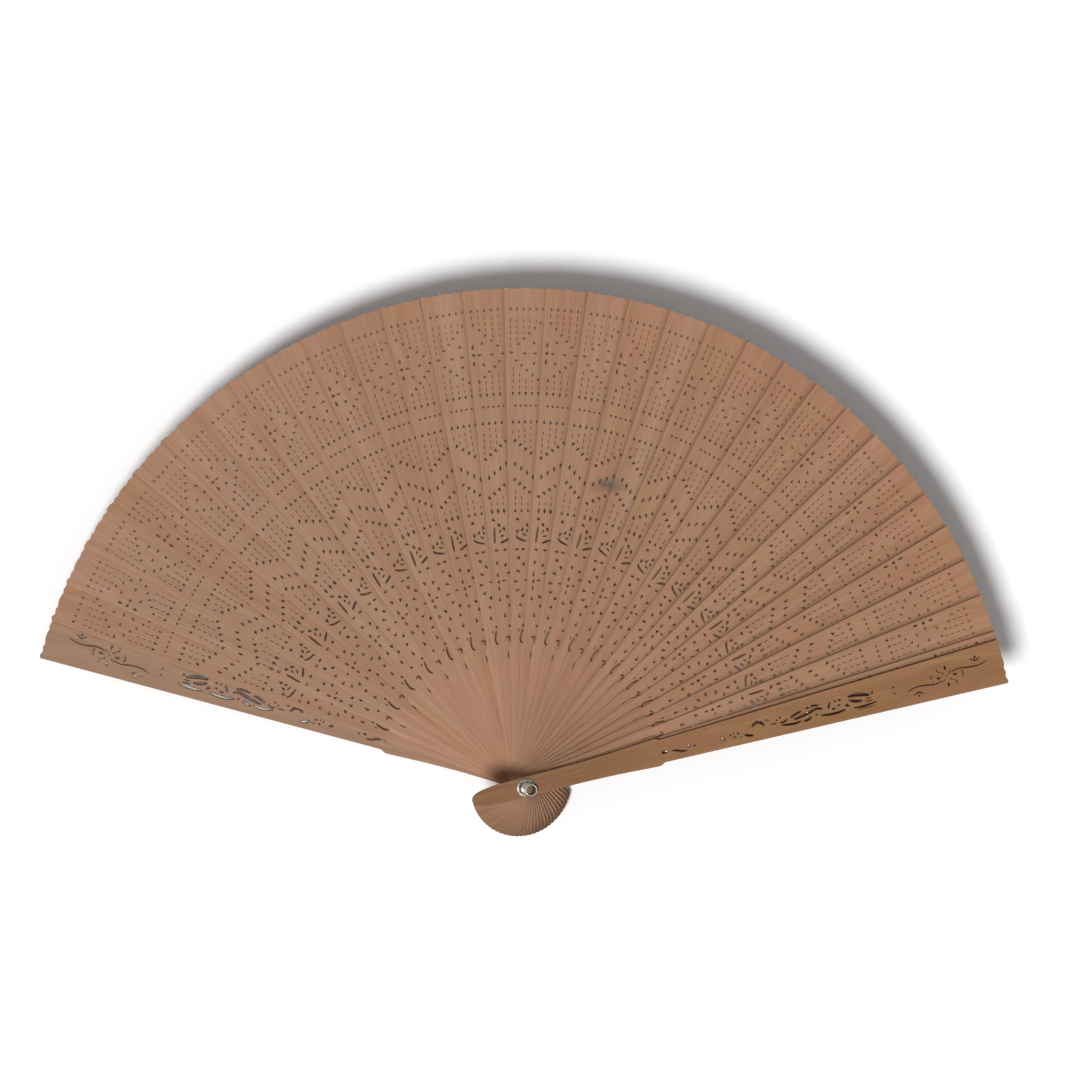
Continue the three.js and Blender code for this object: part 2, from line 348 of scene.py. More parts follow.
def smudged(tree, colour):
    place = add(tree, "ShaderNodeTexCoord", (), "Object")
    offset = add(tree, "ShaderNodeVectorMath", [place, SMUDGE_PLACE], operation="SUBTRACT")
    level = add(tree, "ShaderNodeVectorMath", [offset, SMUDGE_SQUASH], operation="MULTIPLY")
    away = add(tree, "ShaderNodeVectorMath", [level], "Value", operation="LENGTH")
    ragged = add(tree, "ShaderNodeTexNoise", {
        "Vector": place, "Scale": 1 / SMUDGE_RADIUS, "Detail": 4.0,
    }, "Fac")
    away = add(tree, "ShaderNodeMath", [ragged, SMUDGE_RADIUS, away], operation="MULTIPLY_ADD")
    share = add(tree, "ShaderNodeMapRange", [away, 0.5 * SMUDGE_RADIUS, 1.7 * SMUDGE_RADIUS, 0.9, 0.0])
    share = add(tree, "ShaderNodeMath", [share, 1.4], operation="POWER")
    return add(tree, "ShaderNodeMix", {0: share, 6: colour, 7: linear(SMUDGE)}, 2, data_type="RGBA")


# %% [markdown]
# The three woods are put together from these layers. A last attribute is 1 at the rim of every cut, where
# the wood is darkened, partly as burning from the hot tool and partly as painted shade. Sanded wood without
# varnish hardly shines, so it is rough and has little specular, and a slight bump follows its streaks and
# pores. The guards are darker than the sticks.

# %% Wood for sticks and guards
SHIFT_ACROSS = 31.7
SHIFT_ALONG = 211.0
SCORCH_AND_SHADE = "#4a2d19"


def wood(name, dark, middle, light, greying=0.0, for_sticks=False):
    material, tree, shader = new_material(name)
    local = add(tree, "ShaderNodeAttribute", (), "Vector", attribute_name="grain")
    slat = add(tree, "ShaderNodeAttribute", (), "Fac", attribute_name="slat")
    scorch = add(tree, "ShaderNodeAttribute", (), "Fac", attribute_name="scorch")
    shift = add(tree, "ShaderNodeVectorMath", {0: (SHIFT_ACROSS, SHIFT_ALONG, 1.0), "Scale": slat},
                operation="SCALE")
    place = add(tree, "ShaderNodeVectorMath", [local, shift], operation="ADD")
    aside, reach, _ = add(tree, "ShaderNodeSeparateXYZ", [local]).node.outputs
    inside = edge_distance(tree, aside, reach)

    colour, streaks, pore_share = bare_wood(tree, place, dark, middle, light)
    colour = of_its_board(tree, colour, place, slat)
    colour = weathered_and_painted_light(tree, colour, reach, inside, slat, light, greying)
    if for_sticks:
        colour = painted_light_on_left_edges(tree, colour, aside, reach, inside, slat)
    colour = painted_shade_by_next_slat(tree, colour, reach, slat)
    # The dark rim round each cut: partly burnt by the hot tool, partly painted shade.
    scorch_and_shade_share = add(tree, "ShaderNodeMapRange", [scorch, 0.0, 0.7, 0.0, 0.88])
    colour = add(tree, "ShaderNodeMix", {0: scorch_and_shade_share, 6: colour, 7: linear(SCORCH_AND_SHADE)}, 2, data_type="RGBA")
    if for_sticks:
        colour = smudged(tree, colour)

    shader.inputs["Specular IOR Level"].default_value = 0.25
    roughness = add(tree, "ShaderNodeMapRange", [streaks, 0.3, 0.7, 0.75, 0.62])
    relief = add(tree, "ShaderNodeMath", [streaks, pore_share], operation="SUBTRACT")
    bump = add(tree, "ShaderNodeBump", {"Height": relief, "Strength": 0.25, "Distance": 0.05 * MM})
    for key, value in (("Base Color", colour), ("Roughness", roughness), ("Normal", bump)):
        tree.links.new(value, shader.inputs[key])
    print("material", name, "with", len(tree.nodes), "nodes")
    return material


stick_wood = wood("sandalwood stick, sanded", "#946b4f", "#a0775c", "#ab8368", greying=0.16, for_sticks=True)
front_guard_wood = wood("sandalwood front guard, sanded", "#815c3c", "#8d6647", "#997353")
back_guard_wood = wood("sandalwood back guard, sanded", "#8b6850", "#97735a", "#a27f66")


# %% [markdown]
# Guards and sticks share one outline: a long blade that widens towards a scalloped tip, a step where the
# blade meets the shank, a waisted shank, and a rounded tail. Half of it is given as a few points from the tip
# to the tail, a smooth curve runs through them, and the other half is its mirror image.

# %% The slat's outline, in millimetres from the rivet's axis
TIP_POINTS = [(0, 179.25), (1.4, 179.15), (2.6, 178.8), (3.9, 179.15), (5.6, 178.8), (7.1, 179.35),
              (8.15, 178.95)]
STEP_POINTS = [(4.2, 51.8), (4.3, 51.0), (4.8, 50.2), (5.03, 49.3), (5.05, 48.2)]
SHANK_POINTS = [(5.05, 48.2), (4.65, 42), (4.2, 35), (3.9, 28), (3.65, 20), (3.6, 10), (3.62, 2)]
TAIL_POINTS = [(3.62, 2), (3.6, -5), (3.4, -10), (2.85, -15), (1.95, -18.2), (0.9, -19.3), (0, -19.6)]


def smooth(points, per_span):
    """A Catmull-Rom curve through the points, with per_span steps from each to the next."""
    ends = [Vector(points[0]), *map(Vector, points), Vector(points[-1])]
    curve = []
    for a, b, c, d in zip(ends, ends[1:], ends[2:], ends[3:]):
        for step in range(per_span):
            t = step / per_span
            curve.append(0.5 * (2 * b + (c - a) * t + (2 * a - 5 * b + 4 * c - d) * t * t
                                + (3 * b - a - 3 * c + d) * t ** 3))
    return [*curve, Vector(points[-1])]


def slat_outline():
    half = smooth(TIP_POINTS, 4) + smooth(STEP_POINTS, 3)[:-1]
    half += smooth(SHANK_POINTS, 3)[:-1] + smooth(TAIL_POINTS, 4)
    mirrored = [Vector((-point.x, point.y)) for point in reversed(half[1:-1])]
    return half + mirrored


outline = slat_outline()
print("outline of", len(outline), "points")


# %% [markdown]
# The fretwork is cut with a few small shapes: round holes, drops with one pointed tail, spindles pointed at
# both ends, and short slits. A cut is only a place, a turn, a width and a length, and the geometry tree
# further down turns it into a real hole. Rows, diagonals and columns of dashes are functions, so that a
# motif reads as what it is. A curved slit is a stroke along a few points, which tapers towards its ends.

# %% Cuts and the motifs that they form
ROUND, DROP, SPINDLE, SLIT = range(4)
Cut = namedtuple("Cut", "x y kind width length turn", defaults=(0.0,))
Line = namedtuple("Line", "x y step_x step_y count")
Stroke = namedtuple("Stroke", "points width")
STROKE_STEPS = 4
DASH = 1.5
DASH_GAP = 0.75
DASH_WIDTH = 0.24


def height_at(line, x):
    return line.y + (x - line.x) * line.step_y / line.step_x


def along(line, kind, width, length, turn=0.0):
    return [Cut(line.x + i * line.step_x, line.y + i * line.step_y, kind, width, length, turn)
            for i in range(line.count)]


def facing(cuts, centre):
    """The same cuts with their tails turned to a centre."""
    headings = [math.degrees(math.atan2(centre[1] - cut.y, centre[0] - cut.x)) for cut in cuts]
    return [cut._replace(turn=heading - 90) for cut, heading in zip(cuts, headings)]


def dashes(x, low, high):
    """A column of saw-cut dashes that fills the height from low to high."""
    count = int((high - low + DASH_GAP) / (DASH + DASH_GAP))
    return [Cut(x, low + DASH / 2 + i * (DASH + DASH_GAP), SLIT, DASH_WIDTH, DASH) for i in range(count)]


def comb(row, line, clear_row=1.5, clear_line=1.7):
    """Dashes between each hole of a level row and a slanting line above or below it."""
    cuts = []
    for i in range(row.count):
        x = row.x + i * row.step_x
        level = height_at(line, x)
        low, high = sorted((row.y, level))
        low += clear_row if low == row.y else clear_line
        high -= clear_row if high == row.y else clear_line
        cuts += dashes(x, low, high)
    return cuts


def stroke_loop(stroke, rim=0.0):
    """A tapering curved slit: its outline runs up one side of a smooth curve and down the other."""
    middle = smooth(stroke.points, STROKE_STEPS)
    middle[0] = middle[0] + (middle[0] - middle[1]).normalized() * rim
    middle[-1] = middle[-1] + (middle[-1] - middle[-2]).normalized() * rim
    last = len(middle) - 1
    sides = ([], [])
    for i, point in enumerate(middle):
        ahead = middle[min(i + 1, last)] - middle[max(i - 1, 0)]
        across = Vector((-ahead.y, ahead.x)).normalized()
        reach = stroke.width / 2 * math.sin(math.pi * (i + 0.35) / (last + 0.7)) ** 0.6 + rim
        sides[0].append(point + across * reach)
        sides[1].append(point - across * reach)
    return sides[0] + sides[1][::-1]


# %% [markdown]
# The sticks alternate between two cuttings that are nearly mirror images, so that neighbours complete each
# other's diamonds, zigzags and flowers. From the tip down there are: a row with a comb of dashes, half a
# diamond, a second comb and row, the row of cord holes, a third row and comb, three zigzags, a comb and
# row, half a leaf, half a flower, and a small curl above the shank.

# %% The cutting of the odd sticks
CORD_ROW = Line(-3.7, 136.8, 1.85, 0, 5)
SMALL_DROP = (0.8, 1.3)
DROP_SIZE = (0.9, 1.45)
BIG_DROP = (0.95, 1.45)
ZIGZAG_DROP = (1.1, 1.7)
FLOWER_DROP = (1.15, 1.75)
SPINDLE_SIZE = (0.85, 2.4)
CORD_HOLE = (0.75, 0.75)


def odd_stick():
    top = Line(-5.75, 171.8, 2.32, 0, 6)
    diamond_top = Line(5.1, 166.5, -1.95, -1.87, 5)
    diamond_foot = Line(-3.45, 153.1, 1.96, -1.7, 5)
    upper = Line(-4.6, 141.1, 2.28, 0, 5)
    lower = Line(-4.5, 131.1, 2.17, 0, 5)
    zigzags = [Line(-3.8, 124.1, 1.95, -1.55, 5), Line(-3.5, 115.7, 2.13, -1.57, 5),
               Line(-3.7, 110.0, 1.77, -1.53, 5)]
    short = Line(-3.3, 99.0, 2.25, 0, 4)
    diamond, flower = (7.4, 155.8), (3.3, 73.5)
    cuts = along(top, DROP, *SMALL_DROP) + comb(top, diamond_top)
    cuts += facing(along(diamond_top, DROP, *SMALL_DROP) + along(diamond_foot, DROP, *SMALL_DROP), diamond)
    cuts += facing([Cut(x, y, DROP, *BIG_DROP) for x, y in
                    ((-5.2, 156.0), (3.05, 159.25), (-0.35, 155.6), (3.0, 152.1))], diamond)
    cuts += [Cut(3.3, 155.6, SPINDLE, 0.9, 1.9, 90)]
    cuts += along(upper, DROP, *DROP_SIZE, 180) + comb(upper, diamond_foot)
    cuts += along(CORD_ROW, ROUND, *CORD_HOLE)
    cuts += along(lower, DROP, *DROP_SIZE) + comb(lower, zigzags[0])
    cuts += along(zigzags[0], DROP, *ZIGZAG_DROP, 145)
    cuts += along(zigzags[1], SPINDLE, *SPINDLE_SIZE)
    cuts += along(zigzags[2], DROP, *ZIGZAG_DROP, 145)
    cuts += along(short, DROP, *DROP_SIZE) + comb(short, zigzags[2])
    cuts += [Cut(-2.5, 95.8, ROUND, 1.35, 1.25), Cut(-2.55, 91.1, DROP, 1.3, 1.9, 170),
             Cut(-0.65, 92.2, DROP, 1.1, 1.8, -25), Cut(1.05, 93.9, DROP, 1.2, 1.9),
             Cut(0.95, 91.7, SPINDLE, 0.7, 1.8, 15), Cut(0.1, 90.2, SPINDLE, 0.7, 2.2, 62)]
    cuts += [Cut(x, 84.9, SPINDLE, 1.15, 1.9, 90) for x in (-2.6, -0.3)]
    cuts += facing([Cut(x, y, DROP, *FLOWER_DROP) for x, y in
                    ((-0.05, 79.3), (-1.9, 76.9), (-2.7, 73.3), (-1.95, 70.2), (-0.1, 68.2))], flower)
    cuts += [Cut(-1.95, 81.8, ROUND, 1.35, 1.45), Cut(0.6, 73.7, SPINDLE, 0.8, 1.4, 90),
             Cut(-1.1, 64.8, ROUND, 1.0, 1.2), Cut(-1.4, 61.0, DROP, 1.0, 1.9),
             Cut(-0.05, 57.3, ROUND, 0.85, 0.95), Cut(-1.6, 55.6, SLIT, 0.35, 1.2)]
    cuts += [Cut(3.45, 80.5, DROP, 1.2, 1.9), Cut(2.75, 73.6, ROUND, 1.2, 1.3),
             Cut(1.6, 61.2, DROP, 1.3, 2.1), Cut(1.5, 53.4, DROP, 1.3, 2.6)]
    strokes = [Stroke([(-3.0, 89.7), (-2.2, 88.9), (-0.9, 88.3), (0.6, 87.8)], 0.55),
               Stroke([(-0.25, 55.9), (-0.65, 54.5), (-0.95, 52.8), (-0.8, 51.5), (-0.2, 50.9)], 0.45)]
    return cuts, strokes


odd_cutting = odd_stick()
print("odd sticks:", len(odd_cutting[0]), "cuts and", len(odd_cutting[1]), "strokes")


# %% [markdown]
# The even sticks answer the odd ones. Most of their rows have one hole fewer, their zigzags climb where the
# others fall, and a long slit stands for the leaf's stalk. Few of the small cuts are exact mirror images,
# so the two are written out one by one.

# %% The cutting of the even sticks
def even_stick():
    top = Line(-5.6, 171.8, 2.42, 0, 5)
    diamond_top = Line(-5.25, 166.5, 2.05, -1.97, 5)
    diamond_foot = Line(3.3, 153.0, -1.92, -1.7, 5)
    upper = Line(-4.4, 141.1, 2.37, 0, 4)
    lower = Line(-4.3, 131.1, 2.27, 0, 4)
    zigzags = [Line(-4.1, 117.9, 1.9, 1.5, 5), Line(-3.5, 111.3, 2.17, 1.55, 5),
               Line(-3.7, 103.9, 1.87, 1.4, 5)]
    short = Line(-3.3, 99.0, 2.15, 0, 4)
    diamond, flower = (-5.6, 155.9), (-2.75, 73.3)
    cuts = along(top, DROP, *SMALL_DROP) + comb(top, diamond_top)
    cuts += facing(along(diamond_top, DROP, *SMALL_DROP) + along(diamond_foot, DROP, *SMALL_DROP), diamond)
    cuts += facing([Cut(x, y, DROP, *BIG_DROP) for x, y in
                    ((4.5, 155.7), (-2.6, 159.7), (0.6, 155.7), (-2.5, 152.3))], diamond)
    cuts += [Cut(-5.85, 158.7, SPINDLE, 1.0, 2.3), Cut(-5.8, 152.7, SPINDLE, 1.0, 2.3),
             Cut(-5.7, 155.8, ROUND, 1.3, 1.2), Cut(-3.7, 155.7, SPINDLE, 0.8, 2.0, 90)]
    cuts += along(upper, DROP, *DROP_SIZE, 180) + comb(upper, diamond_foot)
    cuts += along(CORD_ROW, ROUND, *CORD_HOLE)
    cuts += along(lower, DROP, *DROP_SIZE) + comb(lower, zigzags[0])
    cuts += along(zigzags[0], DROP, *ZIGZAG_DROP, -145)
    cuts += along(zigzags[1], SPINDLE, *SPINDLE_SIZE)
    cuts += along(zigzags[2], DROP, *ZIGZAG_DROP, -145)
    cuts += along(short, SPINDLE, 1.2, 2.6) + comb(short, zigzags[2], 1.9)
    cuts += [Cut(-2.9, 95.9, DROP, 1.3, 1.9, -130), Cut(-3.05, 90.3, SLIT, 0.75, 6.2, -3),
             Cut(-1.1, 93.8, DROP, 1.2, 1.9, -150), Cut(0.6, 92.3, DROP, 1.2, 2.0, -155),
             Cut(-0.95, 91.7, SPINDLE, 0.7, 1.7, -15), Cut(-0.25, 90.0, SPINDLE, 0.7, 2.0, -65)]
    cuts += [Cut(x, 84.9, SPINDLE, 1.15, 1.9, 90) for x in (-2.75, 0.35)]
    cuts += facing([Cut(x, y, DROP, *FLOWER_DROP) for x, y in
                    ((-2.9, 80.1), (0.0, 79.2), (-2.75, 67.2), (-0.1, 68.1))], flower)
    cuts += [Cut(-2.75, 73.4, ROUND, 1.0, 1.3), Cut(-3.0, 75.9, SPINDLE, 0.9, 2.2),
             Cut(-2.8, 71.0, SPINDLE, 0.9, 2.0), Cut(-0.9, 73.8, SPINDLE, 0.7, 1.7, 90),
             Cut(0.8, 76.4, DROP, 1.0, 1.6, 120), Cut(0.5, 64.9, DROP, 0.9, 1.6),
             Cut(-1.35, 61.4, DROP, 1.0, 2.1), Cut(-0.1, 57.3, ROUND, 0.85, 0.95),
             Cut(-1.25, 46.7, SLIT, 0.35, 2.6)]
    strokes = [Stroke([(-0.9, 87.4), (0.3, 88.0), (1.9, 88.7)], 0.6),
               Stroke([(-1.5, 53.0), (-0.9, 53.4), (-0.4, 53.1), (-0.6, 51.8)], 0.45)]
    return cuts, strokes


even_cutting = even_stick()
print("even sticks:", len(even_cutting[0]), "cuts and", len(even_cutting[1]), "strokes")


# %% [markdown]
# The guards are thicker and mostly plain. Near the tip, their sawn ornament is a flower with two long
# S-shaped stems that answer each other when turned half round about the flower. The petals are drops on a
# ring, and the rays between them are slits.

# %% The guards' flower
FLOWER = Vector((0, 157.95))
PETAL_REACH = 2.85
RAY_REACH = 2.0
STEM = [(-1.9, 173.0), (-1.25, 171.2), (-1.0, 168.7), (-1.3, 165.8), (-1.75, 163.0), (-1.55, 161.2),
        (-1.2, 160.1)]
ARC = [(-0.85, 163.5), (0.2, 164.05), (1.5, 163.4)]
SPRIG = [(-3.9, 171.1), (-3.0, 169.4), (-3.9, 167.7)]
TENDRIL = [(1.9, 160.3), (2.5, 161.0), (3.5, 161.1)]


def half_turn(points):
    return [2 * FLOWER - Vector(point) for point in points]


def on_ring(centre, reach, turns, kind, width, length):
    """Cuts on a ring round the centre, each with its tail inwards."""
    outwards = [Vector((-math.sin(math.radians(turn)), math.cos(math.radians(turn)))) for turn in turns]
    return [Cut(*(centre + reach * out), kind, width, length, turn + 180)
            for out, turn in zip(outwards, turns)]


def guard_flower():
    ornament = ((STEM, 0.34), (ARC, 0.28), (SPRIG, 0.34), (TENDRIL, 0.3))
    strokes = [Stroke(points, width) for points, width in ornament]
    strokes += [Stroke(half_turn(points), width) for points, width in ornament]
    cuts = on_ring(FLOWER, PETAL_REACH, (0, 90, 180, 270), DROP, 1.15, 2.1)
    cuts += on_ring(FLOWER, RAY_REACH, (45, 135, 225, 315), SLIT, 0.4, 1.7)
    cuts += [Cut(*FLOWER, ROUND, 0.6, 0.6), Cut(-4.4, 169.4, DROP, 1.0, 1.6, 90),
             Cut(4.4, 146.5, DROP, 1.0, 1.6, -90)]
    return cuts, strokes


flower_cuts, flower_strokes = guard_flower()
print("guards' flower:", len(flower_cuts), "cuts and", len(flower_strokes), "strokes")


# %% [markdown]
# Below two cord holes, the guards have a panel of scrolls: a free drawing of leaves and curls that fade out
# into single drops. Its outer openings are sawn wider in the back guard. The back guard is otherwise the
# front guard's mirror image, set a little closer to the rivet, and the front guard has one long slit more.

# %% The guards' panel of scrolls
GUARD_CORD_HOLES = ((-1.0, 138.0), (1.3, 138.0))
INNER_SCROLLS = [
    ([(-0.6, 128.9), (-1.4, 126.5), (-1.9, 124.0), (-1.95, 121.25)], 1.3),
    ([(-0.5, 121.3), (0.0, 122.7), (0.4, 124.0), (0.7, 125.8)], 0.95),
    ([(-1.5, 114.4), (-0.7, 113.8), (0.2, 113.4)], 0.6),
    ([(-0.05, 111.2), (-0.7, 109.0), (0.0, 106.0), (0.7, 102.8), (1.1, 100.4)], 1.15),
    ([(-1.7, 110.2), (-2.1, 107.8), (-1.6, 105.2)], 0.6),
    ([(-1.2, 103.4), (-0.7, 101.2), (0.1, 99.3)], 0.6),
    ([(0.3, 97.9), (1.0, 96.5), (0.9, 95.2)], 0.6),
    ([(0.3, 89.2), (-1.0, 88.2), (-1.4, 86.5), (-0.4, 85.0)], 0.85),
    ([(2.0, 59.75), (1.7, 58.0), (1.0, 56.3), (0.75, 55.0)], 0.6),
]
OUTER_SCROLLS = [
    [(2.4, 130.9), (2.6, 128.3), (2.75, 125.3), (2.55, 122.3)],
    [(2.35, 119.2), (2.65, 116.5), (2.6, 113.4), (2.15, 110.4)],
    [(1.8, 106.6), (2.4, 105.4), (2.55, 103.9)],
    [(2.25, 102.6), (2.55, 100.4), (2.3, 97.8), (1.9, 95.5)],
    [(2.9, 84.5), (2.5, 83.0), (1.9, 81.7)],
]
FRONT_OUTER_WIDTH = 0.75
BACK_OUTER_WIDTH = 0.95
BACK_GUARD_SLIDE = -2.4
FRONT_EDGE_SLIT = Cut(3.5, 126.8, SLIT, 0.4, 7.2)


def guard_cutting(outer_width):
    cuts, strokes = guard_flower()
    cuts += [Cut(x, y, ROUND, *CORD_HOLE) for x, y in GUARD_CORD_HOLES]
    strokes += [Stroke(points, width) for points, width in INNER_SCROLLS]
    strokes += [Stroke(points, outer_width) for points in OUTER_SCROLLS]
    cuts += [Cut(-1.3, 130.2, DROP, 1.0, 1.5, 60), Cut(0.45, 128.4, SLIT, 0.5, 2.4),
             Cut(1.4, 128.4, SLIT, 0.5, 3.2), Cut(1.2, 120.5, DROP, 1.4, 2.4, -39),
             Cut(-1.6, 118.1, DROP, 0.9, 1.5), Cut(-1.6, 116.2, ROUND, 0.8, 0.9),
             Cut(0.15, 117.5, DROP, 0.9, 1.3), Cut(1.0, 115.4, DROP, 1.0, 1.8),
             Cut(1.5, 108.8, DROP, 0.8, 1.3, 10), Cut(-0.9, 95.6, DROP, 0.8, 1.2, -40),
             Cut(-0.25, 94.2, DROP, 0.7, 1.1, -40), Cut(0.75, 92.8, SLIT, 0.55, 2.3),
             Cut(-1.3, 90.6, SLIT, 0.45, 1.5, -25), Cut(2.1, 80.3, DROP, 1.0, 1.5),
             Cut(0.75, 79.6, DROP, 0.8, 1.3), Cut(1.8, 78.1, DROP, 0.9, 1.3),
             Cut(0.4, 77.9, ROUND, 0.65, 0.7), Cut(0.7, 76.6, ROUND, 0.8, 0.8),
             Cut(1.4, 73.8, DROP, 1.2, 2.3, -20), Cut(0.95, 63.2, DROP, 0.8, 1.2),
             Cut(0.55, 61.2, DROP, 1.4, 2.0), Cut(0.55, 52.5, DROP, 1.9, 4.0)]
    return cuts, strokes


def mirrored(cutting):
    cuts, strokes = cutting
    return ([cut._replace(x=-cut.x, turn=-cut.turn) for cut in cuts],
            [stroke._replace(points=[(-x, y) for x, y in stroke.points]) for stroke in strokes])


def slid(cutting, distance):
    cuts, strokes = cutting
    return ([cut._replace(y=cut.y + distance) for cut in cuts],
            [stroke._replace(points=[(x, y + distance) for x, y in stroke.points]) for stroke in strokes])


front_cuts, front_strokes = guard_cutting(FRONT_OUTER_WIDTH)
front_cutting = ([*front_cuts, FRONT_EDGE_SLIT], front_strokes)
back_cutting = slid(mirrored(guard_cutting(BACK_OUTER_WIDTH)), BACK_GUARD_SLIDE)
print("guards:", len(front_cutting[0]), "and", len(back_cutting[0]), "cuts")


# %% [markdown]
# Every hole has a dark rim round it, partly burnt by the hot tool that cut the fretwork and partly painted
# shade, so the dark mark that the eye sees is wider than the hole. The sizes above are read from the marks,
# and a hole is narrower than its mark, most of all in the thick guards. A curved slit took less of the heat
# than a wide hole. A rim may not run into the next cut, so it is also no wider than the wood beside it
# allows. For that, the gap from each cut to its nearest neighbour is measured on sampled outlines. Dashes
# that would touch another cut are left out.

# %% How wide each dark rim can be
HOLE_SHARE = 0.6
GUARD_HOLE_SHARE = 0.5
STROKE_SHARE = 0.85
FINER_BY = 0.01
RIM = 0.31
GUARD_RIM = 0.42
RIM_SHARE = 0.8
LEAST_RIM = 0.03
LEAST_WOOD = 0.08
SAMPLES = 32
RIVET_HOLE_RADIUS = 1.5
RIVET_HOLE_STEPS = 32
DROP_FULLNESS = 0.77
SPINDLE_POWER = 5


def cut_loop(cut):
    """Points round a cut, by the same rules as the geometry tree's shapes."""
    angles = np.arange(SAMPLES) * 2 * math.pi / SAMPLES
    x, y = np.cos(angles), np.sin(angles)
    if cut.kind == DROP:
        x = x * DROP_FULLNESS * (1 - y)
    elif cut.kind == SPINDLE:
        x = x ** SPINDLE_POWER
    x, y = x * cut.width / 2, y * cut.length / 2
    turn = math.radians(cut.turn)
    return np.stack([cut.x + x * math.cos(turn) - y * math.sin(turn),
                     cut.y + x * math.sin(turn) + y * math.cos(turn)], axis=1)


def nearest_gaps(loops):
    """For each loop, the least distance from its points to another loop's."""
    owner = np.repeat(np.arange(len(loops)), [len(loop) for loop in loops])
    points = np.concatenate(loops)
    gaps = np.full(len(loops), np.inf)
    for i, loop in enumerate(loops):
        others = points[owner != i]
        gaps[i] = np.sqrt(((loop[:, None] - others[None]) ** 2).sum(axis=2).min())
    return gaps


def loop_array(loop):
    return np.array([point[:] for point in loop])


hole_turns = [2 * math.pi * i / RIVET_HOLE_STEPS for i in range(RIVET_HOLE_STEPS)]
RIVET_HOLE = [Vector((math.cos(turn), math.sin(turn))) * RIVET_HOLE_RADIUS for turn in hole_turns]
slat_loops = [loop_array(smooth([*outline, outline[0]], 3)), loop_array(RIVET_HOLE)]


def holes(cutting, hole_share):
    """Each mark's hole, narrowed and shortened by one amount, which grows a little to the slat's right."""
    cuts, strokes = cutting
    losses = [cut.width * (1 - hole_share + FINER_BY * cut.x) for cut in cuts]
    return ([cut._replace(width=cut.width - loss, length=cut.length - loss)
             for cut, loss in zip(cuts, losses)],
            [stroke._replace(width=stroke.width * STROKE_SHARE) for stroke in strokes])


def with_rims(name, cutting, widest_rim):
    """The cuts and strokes that keep clear of each other, each with the width of its rim."""
    cuts, strokes = cutting
    stroke_loops = [loop_array(stroke_loop(stroke)) for stroke in strokes]
    gaps = nearest_gaps([*map(cut_loop, cuts), *stroke_loops, *slat_loops])
    close = [cut for cut, gap in zip(cuts, gaps) if gap < LEAST_WOOD + 2 * LEAST_RIM]
    crowded = [cut for cut in close if cut.kind == SLIT]
    if crowded:
        return with_rims(name, ([cut for cut in cuts if cut not in crowded], strokes), widest_rim)
    for cut in close:
        print(name, "has too little wood beside", cut)
    widths = [piece.width for piece in (*cuts, *strokes)]
    rims = [max(LEAST_RIM, min(widest_rim, RIM_SHARE * width, (gap - LEAST_WOOD) / 2))
            for width, gap in zip(widths, gaps)]
    return list(zip(cuts, rims)), list(zip(strokes, rims[len(cuts):]))


print("the slat's own edges have", sum(map(len, slat_loops)), "sampled points")


# %% [markdown]
# A cutting becomes a plain mesh that the geometry tree reads: the outline, the rivet hole and the curved
# slits are closed loops of edges, and each cut is one loose point with its kind, size, turn and rim as
# attributes. A curved slit has a second loop for the outer edge of its rim.

# %% Cuttings as meshes
OUTLINE, INNER_STROKE, OUTER_STROKE = -1, -2, -3
CUT_ATTRIBUTES = {"cut_kind": "INT", "cut_turn": "FLOAT", "cut_size": "FLOAT_VECTOR", "cut_rim": "FLOAT"}


def pattern_mesh(name, cutting, hole_share=HOLE_SHARE, widest_rim=RIM):
    cuts, strokes = with_rims(name, holes(cutting, hole_share), widest_rim)
    loops = [(outline, OUTLINE), (RIVET_HOLE, OUTLINE)]
    loops += [(stroke_loop(stroke), INNER_STROKE) for stroke, rim in strokes]
    loops += [(stroke_loop(stroke, rim), OUTER_STROKE) for stroke, rim in strokes]
    points, edges, kinds = [], [], []
    for loop, kind in loops:
        first = len(points)
        points += [(point.x, point.y, 0) for point in loop]
        edges += [(first + i, first + (i + 1) % len(loop)) for i in range(len(loop))]
        kinds += [kind] * len(loop)
    plain = len(points)
    points += [(cut.x, cut.y, 0) for cut, rim in cuts]
    mesh = bpy.data.meshes.new(name)
    mesh.from_pydata(points, edges, [])
    values = {
        "cut_kind": kinds + [cut.kind for cut, rim in cuts],
        "cut_turn": [0.0] * plain + [math.radians(cut.turn) for cut, rim in cuts],
        "cut_size": [0.0] * (3 * plain) + [size for cut, rim in cuts
                                           for size in (cut.width / 2, cut.length / 2, 1)],
        "cut_rim": [0.0] * plain + [rim for cut, rim in cuts],
    }
    for attribute, data_type in CUT_ATTRIBUTES.items():
        field = "vector" if data_type == "FLOAT_VECTOR" else "value"
        mesh.attributes.new(attribute, data_type, "POINT").data.foreach_set(field, values[attribute])
    print(name, "has", len(cuts), "cuts and", len(strokes), "curved slits")
    return mesh


odd_pattern = pattern_mesh("odd_cutting", odd_cutting)
even_pattern = pattern_mesh("even_cutting", even_cutting)
front_pattern = pattern_mesh("front_guard_cutting", front_cutting, GUARD_HOLE_SHARE, GUARD_RIM)
back_pattern = pattern_mesh("back_guard_cutting", back_cutting, GUARD_HOLE_SHARE, GUARD_RIM)


# %% [markdown]
# One geometry tree saws every slat. Its first part puts a small closed curve of the right kind on each
# point, turned and scaled by the point's attributes. It does so twice, once for the cuts and once for the
# outer edges of their rims. The cut shapes all start from one circle: a drop is a circle pinched at one
# end, and a spindle is one pinched at both.

# %% A curve for each cut
CUT_STEPS = 12
SAW_INPUTS = {
    "Cutting": "NodeSocketGeometry", "Thickness": "NodeSocketFloat", "Bottom": "NodeSocketFloat",
    "Turn": "NodeSocketFloat", "Turn to next": "NodeSocketFloat", "Slat": "NodeSocketFloat",
    "Wood": "NodeSocketMaterial",
}

